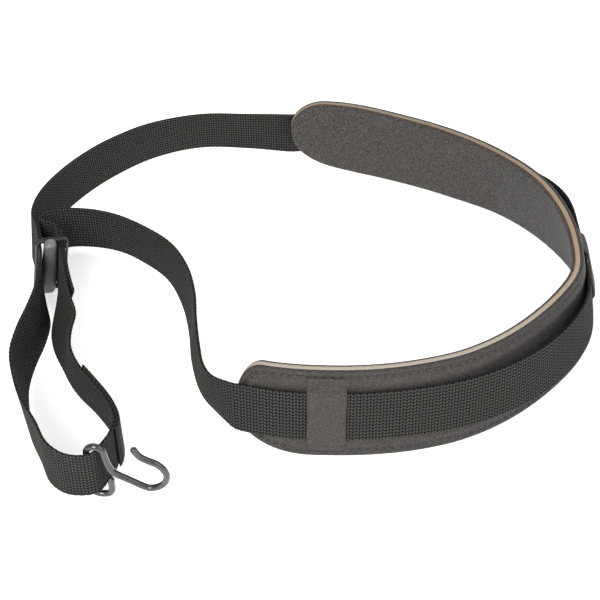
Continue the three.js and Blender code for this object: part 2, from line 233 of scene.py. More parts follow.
# Hook wire: out along its plane, then height.
HOOK_WIRE = [
    (5.2, 11.9), (5.2, 8), (5, 4.4), (3.9, 2.1), (2, 1.4), (-0.2, 1.4), (-2.1, 2.5), (-3, 5.2),
    (-3.1, 9), (-3.1, 16), (-3.1, 23.5), (-3, 27.6), (-1.6, 29.8), (0.8, 30.4), (3, 28.8),
    (3.8, 25), (4.6, 20.4), (5.9, 16.6), (7.9, 14.3), (11, 12.4), (14.2, 10.4), (17.4, 8.4),
    (20.5, 7.2), (24.1, 8.4), (26.8, 11.4), (27.7, 14.4), (27.7, 16.8), (26.4, 20),
    (24, 22.6), (21, 24.2), (18.2, 26), (16.5, 28.6), (15.4, 31.4),
]


# Curves and bands

def unit(vectors):
    return vectors / np.linalg.norm(vectors, axis=-1, keepdims=True)


def spline(points, t):
    """Centripetal Catmull-Rom curve through the points, at parameters counted in points."""
    points = np.asarray(points, float)
    before, after = 2 * points[0] - points[1], 2 * points[-1] - points[-2]
    held = np.vstack([before, points, after])
    first = np.clip(t.astype(int), 0, len(points) - 2)
    w = (t - first)[:, None]
    p0, p1, p2, p3 = (held[first + k] for k in range(4))
    d0, d1, d2 = (np.sum((b - a) ** 2, 1, keepdims=True) ** 0.25
                  for a, b in ((p0, p1), (p1, p2), (p2, p3)))
    d1 = np.where(d1 < 1e-4, 1, d1)
    d0 = np.where(d0 < 1e-4, d1, d0)
    d2 = np.where(d2 < 1e-4, d1, d2)
    m1 = ((p1 - p0) / d0 - (p2 - p0) / (d0 + d1) + (p2 - p1) / d1) * d1
    m2 = ((p2 - p1) / d1 - (p3 - p1) / (d1 + d2) + (p3 - p2) / d2) * d1
    return (p1 * (2 * w ** 3 - 3 * w ** 2 + 1) + m1 * (w ** 3 - 2 * w ** 2 + w)
            + p2 * (3 * w ** 2 - 2 * w ** 3) + m2 * (w ** 3 - w ** 2))


def distances(points):
    """How far along a line of points each one lies."""
    steps = np.linalg.norm(np.diff(points, axis=0), axis=1)
    return np.concatenate([[0], np.cumsum(steps)])


def sample(values, at, s):
    """Vectors known at the distances at, read at the distances s."""
    return np.stack([np.interp(s, at, values[:, k]) for k in range(3)], -1)


class Band:
    """A band's middle line with its frame: along it, across it (upwards) and out of its face."""

    def __init__(self, middle, across, side=1):
        self.at = distances(middle)
        self.middle = middle
        self.across = unit(across)
        along = unit(np.gradient(middle, self.at, axis=0))
        self.out = unit(np.cross(self.across, along)) * side
        self.length = self.at[-1]

    def read(self, values, s):
        return sample(values, self.at, s)

    def point(self, s, v, n):
        """Points at distances s, v across and n out of the face; the three are equal shapes."""
        s, v, n = np.broadcast_arrays(s, v, n)
        return (self.read(self.middle, s) + self.read(self.across, s) * v[..., None]
                + self.read(self.out, s) * n[..., None])


def course(stations, width, side):
    """A band through stations, as the CAD part has it."""
    stations = np.asarray(stations, float)
    t = np.linspace(0, len(stations) - 1, 240 * (len(stations) - 1) + 1)
    middle = spline(stations[:, :3], t)
    lean = spline(np.column_stack([stations[:, 3:5], np.zeros(len(stations))]), t)
    rise = np.sqrt(width ** 2 - np.sum(lean ** 2, 1))
    across = np.column_stack([lean[:, 0], lean[:, 1], rise])
    return Band(middle, across, side)


def pad_station(x, y, lean_x, lean_y):
    """A pad station as its middle, at the height that lets the lower edge touch the floor."""
    lean = math.hypot(lean_x, lean_y)
    rise = math.sqrt(PAD_WIDTH ** 2 - lean ** 2)
    return x, y, rise / 2 + PAD_FACE * lean / PAD_WIDTH, lean_x, lean_y


sideways = unit(np.array([0.975, 0.22, 0]))
slide_way = unit(np.array([0.22, -0.975, 0]))


def slide_station(out, along):
    """A webbing station in the slide, out to one side and along the way the slide travels."""
    p = np.array([*SLIDE_AT, SLIDE_MID]) + sideways * out + slide_way * along
    lean = sideways * SLIDE_LEAN * WEB_WIDTH / SLIDE_HEIGHT
    return *p, lean[0], lean[1]


def pad_end_station(s):
    """The webbing's station where it leaves the pad."""
    p = pad.point(np.array([s]), 0.0, WEB_MID)[0]
    lean = pad.read(pad.across, np.array([s]))[0] * WEB_WIDTH
    return *p, lean[0], lean[1]


pad = course([pad_station(*s) for s in PAD_STATIONS], PAD_WIDTH, 1)
KEEPERS = {
    "far": KEEPER_FROM_END,
    "centre": KEEPER_CENTRE,
    "near": pad.length - KEEPER_FROM_END,
}
left_strand = [slide_station(-STRAND_GAP, a) for a in (-8, 0, 8)]
right_strand = [slide_station(STRAND_GAP, a) for a in (8, 0, -8)]
far_side = course(
    [pad_end_station(0), *FAR_SIDE, slide_station(-STRAND_GAP, SPLIT)], WEB_WIDTH, 1)
near_side = course(
    [pad_end_station(pad.length), *NEAR_SIDE, slide_station(STRAND_GAP, SPLIT)], WEB_WIDTH, 1)
loop = course(
    [slide_station(-STRAND_GAP, SPLIT), *left_strand, *LOOP_LEFT, *LOOP_HOOK, *LOOP_RIGHT,
     *right_strand, slide_station(STRAND_GAP, SPLIT)], WEB_WIDTH, -1)


def webbing_bow(s):
    """Between two keepers the webbing stands off the cover, most towards the centre keeper."""
    outer = np.where(s < KEEPER_CENTRE, KEEPERS["far"], KEEPERS["near"])
    free = np.abs(KEEPER_CENTRE - outer) - KEEPER_LENGTH * 1.2
    inside = (s - outer) * (s - KEEPER_CENTRE) < 0
    share = np.clip((np.abs(s - outer) - KEEPER_LENGTH * 0.6) / free, 0, 1)
    rise, skew = (np.where(s < KEEPER_CENTRE, a, b) for a, b in zip(FAR_BOW, NEAR_BOW))
    return np.where(inside, rise * np.sin(share ** skew * math.pi) ** 2, 0)


def blur(values, reach):
    """A running mean with soft ends along a closed line."""
    offsets = np.arange(-3 * reach, 3 * reach + 1)
    weights = np.exp(-0.5 * (offsets / reach) ** 2)
    weights /= weights.sum()
    return sum(w * np.roll(values, k, axis=0) for k, w in zip(offsets, weights))


def closed_webbing():
    """The whole webbing: over the pad, to the slide, round the hook's loop and back."""
    s = np.linspace(0, pad.length, 1600)
    pieces = [
        (pad.point(s, 0.0, WEB_MID + webbing_bow(s)), pad.read(pad.across, s)),
        (near_side.middle[1:], near_side.across[1:]),
        (loop.middle[::-1][1:], loop.across[::-1][1:]),
        (far_side.middle[::-1][1:-1], far_side.across[::-1][1:-1]),
    ]
    middle = np.vstack([p[0] for p in pieces])
    across = np.vstack([p[1] for p in pieces])
    closed = np.vstack([middle, middle[:1]])
    at = distances(closed)
    count = int(round(at[-1] / WEAVE_STEP))
    even = np.linspace(0, at[-1], count, endpoint=False)
    middle = blur(sample(closed, at, even), 4)
    across = unit(blur(sample(np.vstack([across, across[:1]]), at, even), 9))
    along = unit(np.roll(middle, -1, 0) - np.roll(middle, 1, 0))
    return even, middle, across, unit(np.cross(across, along))


# Meshes

def placed(points):
    """From the part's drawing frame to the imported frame, in metres."""
    return (np.asarray(points) - FOOTPRINT) * MM


def make_object(name, points, faces, attributes):
    """A smooth-shaded mesh object from points in the drawing frame and equal-sided faces."""
    points = placed(points)
    corners = points[faces]
    fan = [np.cross(corners[:, k] - corners[:, 0], corners[:, k + 1] - corners[:, 0])
           for k in range(1, faces.shape[1] - 1)]
    if np.sum(sum(fan) * corners[:, 0]) < 0:
        faces = faces[:, ::-1]
    mesh = bpy.data.meshes.new(name)
    mesh.vertices.add(len(points))
    mesh.vertices.foreach_set("co", points.astype(np.float32).ravel())
    mesh.loops.add(faces.size)
    mesh.loops.foreach_set("vertex_index", faces.astype(np.int32).ravel())
    mesh.polygons.add(len(faces))
    starts = np.arange(0, faces.size, faces.shape[1], dtype=np.int32)
    mesh.polygons.foreach_set("loop_start", starts)
    mesh.polygons.foreach_set("use_smooth", np.ones(len(faces), bool))
    for key, values in attributes.items():
        layer = mesh.attributes.new(key, "FLOAT_VECTOR", "POINT")
        layer.data.foreach_set("vector", values.astype(np.float32).ravel())
    mesh.update(calc_edges=True)
    mesh.validate()
    made = bpy.data.objects.new(name, mesh)
    bpy.context.scene.collection.objects.link(made)
    return made


def loft_faces(rings, count, closed, first):
    """Quads between rings of count points, and quads that fill the first and the last ring unless
    the rings close on themselves. Their points are numbered on from first."""
    ring, side = np.meshgrid(np.arange(rings if closed else rings - 1), np.arange(count),
                             indexing="ij")
    near, far = ring * count, ((ring + 1) % rings) * count
    after = (side + 1) % count
    faces = np.stack([near + side, near + after, far + after, far + side], -1).reshape(-1, 4)
    if closed:
        return faces + first
    caps = []
    for start, flip in ((0, True), ((rings - 1) * count, False)):
        for k in range(count // 2 - 1):
            cap = [start + k, start + k + 1, start + count - 2 - k, start + count - 1 - k]
            caps.append(cap[::-1] if flip else cap)
    return np.vstack([faces, caps]) + first


def loft(name, *bodies, mark=None):
    """One object of closed bodies. Each is (rings, whether they close on themselves), and has marks as
    a third value when they are to be kept on the mesh under the name mark, for its material. Rings
    and marks are arrays (ring, point, xyz)."""
    points, faces = [], []
    count = 0
    for rings, closed, *_ in bodies:
        faces.append(loft_faces(rings.shape[0], rings.shape[1], closed, count))
        points.append(rings.reshape(-1, 3))
        count += len(points[-1])
    attributes = {mark: np.vstack([body[2].reshape(-1, 3) for body in bodies])} if mark else {}
    return make_object(name, np.vstack(points), np.vstack(faces), attributes)


# Webbing

def zigzag(x):
    """A wave of straight strokes between -1 and 1."""
    return 2 * np.abs(2 * (x - np.floor(x + 0.5))) - 1


def weave(s, v):
    """Height of the herringbone weave, 0 in its gaps to 1 on its yarns."""
    pitch = WEB_WIDTH / BUNDLES
    line = v + CHEVRON_RISE * zigzag(s / CHEVRON)
    across = 0.5 + 0.5 * np.cos(2 * math.pi * line / pitch)
    stroke = np.abs(np.sin(2 * math.pi * s / CHEVRON))
    return across ** 0.85 * (0.12 + 0.88 * stroke ** 0.75)


def around(face, back):
    """Values over a strip's face and then back under it, with the two edges taken from the face."""
    return np.concatenate([face, back[:, -2:0:-1]], 1)


def webbing_section(s, half_width):
    """The closed outline of the webbing at distances s, as its points across and out of the face,
    and marks (s, across, 0) for the weave."""
    share = np.arange(WEAVE_COLUMNS + 1) / WEAVE_COLUMNS * 2 - 1
    s = s[:, None]
    half = half_width[:, None]
    scallop = SCALLOP * np.cos(2 * math.pi * s / (CHEVRON / 2))
    v = share * (half + np.where(np.abs(share) == 1, scallop, 0))
    rounding = np.clip((np.abs(v) - half + SELVEDGE) / SELVEDGE, 0, 1)
    n = (WEB_HALF + RELIEF * weave(s, v)) * np.sqrt(1 - rounding ** 2)
    ring_v = around(v, v)
    ring_n = around(n, -n)
    return ring_v, ring_n, np.stack([np.broadcast_to(s, ring_v.shape), ring_v, 0 * ring_v], -1)


def make_webbing():
    s, middle, across, out = closed_webbing()
    v, n, marks = webbing_section(s, np.full(len(s), WEB_WIDTH / 2))
    rings = middle[:, None] + across[:, None] * v[..., None] + out[:, None] * n[..., None]
    made = loft("webbing_band", (rings, True, marks), mark="weave")
    return made


def make_layer(name, start, end, cuts, corner=0, flare=0):
    """One cut end of the webbing, lying on the loop's outer face. It is sealed thin where it is cut,
    with rounded corners if any, and flare lifts its start."""
    s = np.arange(start, end, WEAVE_STEP)
    to_cut = np.min([np.abs(s - cut) for cut in cuts], axis=0)
    half = np.full(len(s), WEB_WIDTH / 2)
    if corner:
        half -= corner_cut(to_cut, corner, corner)
    v, n, marks = webbing_section(s, half)
    sealed = np.clip(to_cut / 0.8, 0.35, 1)[:, None]
    lift = LAYER + flare * np.clip(1 - (s - start) / FLARE_LENGTH, 0, 1)[:, None] ** 2
    rings = loop.point(s[:, None], v, n * sealed + lift)
    made = loft(name, (rings, False, marks), mark="weave")
    return made


# Neck pad

def corner_cut(distance, reach, radius):
    """How far a rounded corner cuts across the pad at a distance from the pad's end."""
    share = np.clip(1 - distance / reach, 0, 1)
    return radius * (1 - np.sqrt(1 - share ** 2))


def pad_edge(s, side, inset=0.0):
    """Where the pad's upper (1) or lower (-1) edge lies, or a line that runs inset from it."""
    (far_reach, far_radius), (near_reach, near_radius) = FAR_CORNERS[side], NEAR_CORNERS[side]
    cut = (corner_cut(s - inset, far_reach - inset, far_radius - inset)
           + corner_cut(pad.length - inset - s, near_reach - inset, near_radius - inset))
    return side * (PAD_WIDTH / 2 - inset - cut)


def pad_across(s, share, inset=0.0):
    """From -1 on the pad's lower edge to 1 on its upper edge, as a distance across."""
    low, high = pad_edge(s, -1, inset), pad_edge(s, 1, inset)
    return (low + high) / 2 + share * (high - low) / 2


def pad_distances(inset=0.0):
    """Distances along the pad, closer together where its ends are rounded."""
    turn = 1 - np.cos(np.linspace(0, math.pi / 2, END_STEPS))
    low = inset + (FAR_CORNERS[-1][0] - inset) * turn
    high = pad.length - inset - (NEAR_CORNERS[-1][0] - inset) * turn
    middle = np.linspace(low[-1], high[-1], int((high[-1] - low[-1]) / PAD_STEP))
    return np.concatenate([low, middle[1:-1], high[::-1]])


def seam_line():
    """The perimeter seam as s, v: along the pad's upper edge, round its end and back."""
    s = pad_distances(SEAM_INSET)
    upper, lower = (pad_edge(s, side, SEAM_INSET) for side in (1, -1))
    return np.concatenate([s, s[::-1]]), np.concatenate([upper, lower[::-1]])


def evenly(s, v, step):
    """Even steps along a closed line on the flat of the pad."""
    flat = np.column_stack([s, v])
    flat = np.vstack([flat, flat[:1]])
    at = distances(flat)
    even = np.linspace(0, at[-1], int(round(at[-1] / step)), endpoint=False)
    return np.interp(even, at, flat[:, 0]), np.interp(even, at, flat[:, 1])


def edge_distance(s, v):
    """How far a point of the pad lies in from its outline, near enough for soft relief."""
    gaps = []
    for side in (1, -1):
        edge = pad_edge(s[:, 0], side)
        slope = np.minimum(np.abs(np.gradient(edge, s[:, 0])), 8)
        gaps.append((edge[:, None] - v) * side / np.sqrt(1 + slope[:, None] ** 2))
    return np.minimum(*gaps)


def stitch_dents(s, v):
    """Dents round every needle hole and along the pull of the thread, which the cover's material also
    darkens as painted shade.
    """
    hole_s, hole_v = evenly(*seam_line(), STITCH)
    dent = np.zeros_like(s)
    for a, b in zip(hole_s, hole_v):
        rows = np.abs(s[:, 0] - a) < DENT_REACH
        gap = (s[rows] - a) ** 2 + (v[rows] - b) ** 2
        dent[rows] += np.exp(-gap / DENT_SPREAD)
    return np.minimum(dent, 1)


def smooth_noise(s, v, wave, seed):
    """Slow, seeded unevenness made of a few long waves."""
    rng = np.random.default_rng(seed)
    total = np.zeros_like(s)
    for k in range(5):
        angle, phase = rng.uniform(0, 2 * math.pi, 2)
        scale = wave * rng.uniform(0.6, 1.7)
        total += np.sin((s * math.cos(angle) + v * math.sin(angle)) / scale + phase)
    return total / 5


def ridge(distance, crest, width):
    """A soft ridge, 1 on its crest."""
    return np.exp(-((distance - crest) / width) ** 2)


def pad_grid(columns):
    """Points over the pad as s, v and how far in from the outline, closer together at its edges."""
    s = pad_distances()
    turn = np.linspace(-1, 1, columns)
    share = 0.35 * np.sin(turn * math.pi / 2) + 0.65 * turn
    grid_s = np.broadcast_to(s[:, None], (len(s), columns)).copy()
    grid_v = pad_across(grid_s, share[None])
    return grid_s, grid_v, edge_distance(grid_s, grid_v)


def make_cover():
    """The outer leather: pulled down by its seam and rounded over towards the core."""
    s, v, inward = pad_grid(97)
    holes = stitch_dents(s, v)
    groove = 0.42 * ridge(inward, SEAM_INSET, 0.75)
    margin = 0.55 * ridge(inward, 6.6, 2.0)
    rim = 0.22 * ridge(inward, 1.5, 0.9)
    roll = 0.85 * np.clip(1 - inward / EDGE_ROLL, 0, 1) ** 2
    uneven = 0.07 * smooth_noise(s, v, 5, 3)
    top = PAD_FACE - groove + margin + rim - roll - 0.35 * holes + uneven
    return skin("neck_pad_cover", s, v, top, PAD_FACE - SKIN - 0.5, holes)


def make_lining():
    """The inner leather: a smooth face, a little fuller in its middle."""
    s, v, inward = pad_grid(81)
    fill = 0.45 * (1 - np.exp(-np.clip(inward, 0, None) / 4))
    roll = 0.75 * np.clip(1 - inward / EDGE_ROLL, 0, 1) ** 2
    ruck = 0.05 * np.sin(2 * math.pi * s / 6.5 + 1.2 * smooth_noise(s, v, 7, 8))
    bend = ridge(s, 0.52 * pad.length, 60)
    uneven = 0.06 * smooth_noise(s, v, 6, 5)
    top = -(PAD_FACE - 0.25 + fill - roll + uneven + ruck * bend)
    return skin("neck_pad_lining", s, v, top, -(PAD_FACE - SKIN - 0.5), 0 * top)


def skin(name, s, v, top, under, holes):
    """A closed leather skin between its worked face and its flat back, marked with its holes, where
    its material paints shade.
    """
    top[:, [0, -1]] = (top[:, [0, -1]] + under) / 2
    ring_s, ring_v = around(s, s), around(v, v)
    rings = pad.point(ring_s, ring_v, around(top, np.full_like(top, under)))
    marks = np.stack([ring_s, ring_v, around(holes, 0 * holes)], -1)
    return loft(name, (rings, False, marks), mark="leather")


def make_core():
    """The raw edge of the middle layer, a little uneven and standing just proud."""
    s = pad_distances()
    rng = np.random.default_rng(11)
    rise = np.linspace(-1, 1, 9)
    level = np.concatenate([rise, rise[::-1]])
    side = np.repeat([1, -1], len(rise))
    proud = 0.25 * (1 - level ** 2) - 0.1
    rough = CORE_ROUGHNESS * rng.standard_normal((len(s), len(level)))
    v = pad_across(s[:, None], side) + side * (proud + rough)
    n = np.broadcast_to(level * (CORE_HALF - 0.05), v.shape)
    grid_s = np.broadcast_to(s[:, None], v.shape).copy()
    grid_s[0] -= 0.3
    grid_s[-1] += 0.3
    rings = pad.point(grid_s, v, n)
    return loft("neck_pad_core", (rings, False, np.stack([grid_s, v, n], -1)), mark="leather")


def stitch_wave(steps):
    """The thread's height along its stitches, from 0 in a needle hole to 1 between two of them."""
    return np.abs(np.sin(math.pi * np.arange(steps) / STITCH_STEPS)) ** STITCH_ARCH


def thread(middle, up, closed=False, radius=THREAD_RADIUS):
    """A round thread along points as a body to loft, its section turned to the surface."""
    if closed:
        along = unit(np.roll(middle, -1, 0) - np.roll(middle, 1, 0))
    else:
        along = unit(np.gradient(middle, axis=0))
    side = unit(np.cross(along, up))
    raised = np.cross(side, along)
    turn = np.arange(THREAD_SIDES) / THREAD_SIDES * 2 * math.pi
    ring = (side[:, None] * np.cos(turn)[None, :, None]
            + raised[:, None] * np.sin(turn)[None, :, None]) * radius
    at, turn = np.broadcast_arrays(distances(middle)[:, None], turn)
    return middle[:, None] + ring, closed, np.stack([at, turn, 0 * at], -1)


def make_seam():
    """The perimeter seam: one thread that dives through the cover at every needle hole."""
    s, v = evenly(*seam_line(), STITCH / STITCH_STEPS)
    level = PAD_FACE - 1.3 + 0.88 * stitch_wave(len(s))
    slant = 0.12 * np.sin(2 * math.pi * np.arange(len(s)) / STITCH_STEPS)
    middle = pad.point(s, v + slant, level)
    return loft("seam_thread", thread(middle, pad.read(pad.out, s), closed=True), mark="thread")


# Keepers

def keeper_profile(v):
    """How far out of the pad the keeper's face lies, over the webbing and down to its feet."""
    v = np.abs(v)
    hump = WEB_MID + KEEPER_PLAY + KEEPER_LEATHER
    foot = PAD_FACE + 0.15 + 0.7 * np.clip((KEEPER_FOOT + 0.6 - v) / 2.5, 0, 1)
    drop = 1 / (1 + np.exp((v - KEEPER_SHOULDER) / 0.55))
    return foot + (hump - foot) * drop


def make_keeper(place):
    """A leather strip across the webbing: crowned, thinned at its cut edges, pressed by its seams."""
    half = KEEPER_LENGTH / 2
    across = np.linspace(-KEEPER_FOOT - KEEPER_HEM, KEEPER_FOOT + KEEPER_HEM, 110)
    bend = np.linspace(-1, 1, 34)
    reach = half * (0.55 * bend + 0.45 * np.sin(bend * math.pi / 2))
    pinch = 1 - 0.035 * ridge(across, 0, 9)
    s = KEEPERS[place] + reach[:, None] * pinch[None]
    v = np.broadcast_to(across, s.shape)
    edge = np.clip(half - np.abs(reach), 0, 0.8)[:, None] / 0.8
    seam = 0.25 * ridge(np.abs(v), KEEPER_SEAM, 0.6)
    crown = 0.18 * (1 - (reach[:, None] / half) ** 2)
    top = keeper_profile(v) - 0.45 * (1 - edge) ** 2 - seam + crown
    top += 0.05 * smooth_noise(s, v, 3, 17)
    under = np.maximum(keeper_profile(v) - KEEPER_LEATHER, PAD_FACE - 0.4)
    ring_s, ring_v = around(s, s), around(v, v)
    rings = pad.point(ring_s, ring_v, around(top, under))
    marks = np.stack([ring_s, ring_v, 0 * ring_v], -1)
    return loft(f"keeper_strip_{place}", (rings, False, marks), mark="leather")


def make_keeper_stitches(place):
    """Two short rows of stitches through the keeper's feet."""
    rows = []
    for side in (-1, 1):
        s = KEEPERS[place] + np.linspace(-KEEPER_ROW, KEEPER_ROW, 5 * STITCH_STEPS + 1)
        level = keeper_profile(KEEPER_SEAM) - 0.85 + 0.62 * stitch_wave(len(s))
        middle = pad.point(s, side * KEEPER_SEAM, level)
        rows.append(thread(middle, pad.read(pad.out, s), radius=KEEPER_THREAD))
    return loft(f"keeper_stitches_{place}", *rows, mark="thread")


def make_overlap_stitches():
    """Two zigzag bar tacks across the webbing's overlapped end."""
    rows = []
    outer = LAYER + WEB_HALF + RELIEF
    half = WEB_WIDTH / 2 - 1.6
    k = np.arange(TACK_STEPS + 1)
    for start in (OVERLAP_FROM + 3, OVERLAP_TO - 6):
        s = start + TACK_REACH * zigzag(k / TACK_STROKE)
        v = np.linspace(-half, half, len(k))
        middle = loop.point(s, v, outer + 0.05 * np.cos(k * math.pi / 2))
        rows.append(thread(middle, loop.read(loop.out, s), radius=TACK_THREAD))
    return loft("overlap_stitches", *rows, mark="thread")


# Slide

def squared(wave, power):
    """A sine or cosine swelled towards a square."""
    return np.sign(wave) * np.abs(wave) ** power


def slide_bar():
    """The stout front bar, upright: a softly squared section, rounded at both ends and narrower
    towards its top."""
    sides, steps = 64, 20
    turn = np.arange(sides) / sides * 2 * math.pi
    x = squared(np.cos(turn), 2 / BAR_SQUARENESS)
    y = squared(np.sin(turn), 2 / BAR_SQUARENESS)
    cap = np.linspace(0, math.pi / 2, steps)
    rise = BAR_END * (1 - np.cos(cap))
    draw_in = BAR_END * (1 - np.sin(cap))
    straight = np.linspace(BAR_END, SLIDE_HEIGHT - BAR_END, steps + 2)[1:-1]
    z = np.concatenate([rise, straight, SLIDE_HEIGHT - rise[::-1]])[:, None]
    shrink = np.concatenate([draw_in, np.zeros(steps), draw_in[::-1]])[:, None]
    up = z / SLIDE_HEIGHT
    taper = 1.03 - 0.42 * np.clip(up - 0.3, 0, 1) ** 1.6 - 0.3 * np.clip(0.3 - up, 0, 1)
    bar_x = x * (BAR_HALF - shrink) * taper
    bar_y = y * (BAR_DEPTH / 2 - shrink) - BAR_FORWARD
    return np.stack(np.broadcast_arrays(bar_x, bar_y, z), -1)


def slide_frame():
    """The thin frame round both strands, upright: a flat bar bent into a rectangle."""
    left = FRAME_WALL / 2 - FRAME_LEFT + FRAME_CORNER
    right = FRAME_RIGHT - FRAME_WALL / 2 - FRAME_CORNER
    low, high = BRIDGE / 2 + FRAME_CORNER, SLIDE_HEIGHT - BRIDGE / 2 - FRAME_CORNER
    steps, sides = 9, 16
    corner_x = np.repeat([right, left, left, right], steps)[:, None]
    corner_z = np.repeat([high, high, low, low], steps)[:, None]
    quarter = np.linspace(0, math.pi / 2, steps)
    turn = np.concatenate([k * math.pi / 2 + quarter for k in range(4)])[:, None]
    wall = (FRAME_WALL + (BRIDGE - FRAME_WALL) * np.sin(turn) ** 2) / 2
    section = np.arange(sides) / sides * 2 * math.pi
    reach = FRAME_CORNER + squared(np.cos(section), 0.6) * wall
    centre = (BAR_DEPTH - FRAME_DEPTH) / 2 - BAR_FORWARD
    x = corner_x + reach * np.cos(turn)
    y = centre + squared(np.sin(section), 0.6) * FRAME_DEPTH / 2
    z = corner_z + reach * np.sin(turn)
    return np.stack(np.broadcast_arrays(x, y, z), -1)


def slide_place(local):
    """From the slide's own upright frame to where it stands, leaning with the strands."""
    x, y, z = local[..., 0], local[..., 1], local[..., 2]
    x = x + SLIDE_LEAN * (z / SLIDE_HEIGHT - 0.5)
    y = y - SLIDE_PITCH * (z / SLIDE_HEIGHT - 0.5)
    back = np.cross(np.array([0, 0, 1]), sideways)
    base = np.array([*SLIDE_AT, 0])
    return base + x[..., None] * sideways + y[..., None] * back + z[..., None] * [0, 0, 1]


def make_slide_bar():
    return loft("slide_body", (slide_place(slide_bar()), False))


def make_slide_frame():
    return loft("slide_frame", (slide_place(slide_frame()), True))


# Hook

def make_hook():
    """One round wire bent in a plane that leans with the webbing, blunt at both ends."""
    turn = math.radians(HOOK_TURN)
    out = np.array([math.cos(turn), math.sin(turn), 0])
    up = unit(np.array([0, HOOK_LEAN, math.sqrt(WEB_WIDTH ** 2 - HOOK_LEAN ** 2)]))
    side = unit(np.cross(up, out))
    base = np.array([*HOOK_AT, 0])
    points = np.array([base + out * d + up * h for d, h in HOOK_WIRE])
    fine = spline(points, np.linspace(0, len(points) - 1, 60 * len(points)))
    at = distances(fine)
    s = np.linspace(0, at[-1], WIRE_RINGS)
    middle = sample(fine, at, s)
    along = unit(np.gradient(middle, axis=0))
    normal = np.cross(along, side)
    end = np.clip(np.minimum(s, at[-1] - s) / WIRE_RADIUS, 0, 1)
    radius = WIRE_RADIUS * np.maximum(np.sqrt(1 - (1 - end) ** 2), 0.06)
    a = np.arange(WIRE_SIDES) / WIRE_SIDES * 2 * math.pi
    ring = (normal[:, None] * np.cos(a)[None, :, None] + side * np.sin(a)[None, :, None])
    rings = middle[:, None] + ring * radius[:, None, None]
    return loft("hook_wire", (rings, False))


# Materials

class Look:
    """A material's nodes, built one call at a time."""

    def __init__(self, name):
        self.material = bpy.data.materials.new(name)
        self.material.use_nodes = True
        self.tree = self.material.node_tree
        self.shader = self.tree.nodes["Principled BSDF"]

    def add(self, kind, values=None, **settings):
        node = self.tree.nodes.new(kind)
        for key, value in settings.items():
            setattr(node, key, value)
        for key, value in (values or {}).items():
            self.feed(node.inputs[key], value)
        return node

    def feed(self, socket, value):
        if isinstance(value, bpy.types.NodeSocket):
            self.tree.links.new(value, socket)
        else:
            socket.default_value = value

    def math(self, operation, a, b=0.0, c=0.0):
        node = self.add("ShaderNodeMath", operation=operation)
        for socket, value in zip(node.inputs, (a, b, c)):
            self.feed(socket, value)
        return node.outputs[0]

    def place(self, scale=(1, 1, 1)):
        """Object coordinates in millimetres, stretched."""
        coordinate = self.add("ShaderNodeTexCoord").outputs["Object"]
        scaled = [k / MM for k in scale]
        node = self.add("ShaderNodeMapping", {"Vector": coordinate, "Scale": scaled})
        return node.outputs[0]

    def marks(self, name, scale=(1, 1, 1)):
        """The coordinates kept on the mesh itself, in millimetres, stretched."""
        read = self.add("ShaderNodeAttribute", attribute_name=name).outputs["Vector"]
        return self.add("ShaderNodeMapping", {"Vector": read, "Scale": scale}).outputs[0]

    def noise(self, vector, scale, detail=3.0, roughness=0.55):
        values = {"Vector": vector, "Scale": scale, "Detail": detail, "Roughness": roughness}
        return self.add("ShaderNodeTexNoise", values).outputs["Fac"]

    def ramp(self, factor, *stops):
        """A colour ramp from (position, colour) stops: its two ends, then any between them."""
        node = self.add("ShaderNodeValToRGB", {"Fac": factor})
        for element, (position, colour) in zip(node.color_ramp.elements, stops):
            element.position, element.color = position, (*colour, 1)
        for position, colour in stops[2:]:
            node.color_ramp.elements.new(position).color = (*colour, 1)
        return node.outputs["Color"]

    def blend(self, factor, a, b):
        node = self.add("ShaderNodeMix", data_type="RGBA", blend_type="MIX")
        for socket, value in zip((node.inputs[0], node.inputs[6], node.inputs[7]),
                                 (factor, a, b)):
            self.feed(socket, value)
        return node.outputs[2]

    def level(self, value, low, high):
        """Maps 0 to 1 onto low to high."""
        values = {"Value": value, "To Min": low, "To Max": high}
        return self.add("ShaderNodeMapRange", values).outputs["Result"]

    def bump(self, height, strength, distance, under=None):
        values = {"Height": height, "Strength": strength, "Distance": distance * MM}
        if under is not None:
            values["Normal"] = under
        return self.add("ShaderNodeBump", values).outputs["Normal"]

    def finish(self, colour, roughness, normal=None, **constants):
        self.feed(self.shader.inputs["Base Color"], colour)
        self.feed(self.shader.inputs["Roughness"], roughness)
        if normal is not None:
            self.feed(self.shader.inputs["Normal"], normal)
        for key, value in constants.items():
            self.shader.inputs[key.replace("_", " ")].default_value = value
        return self.material


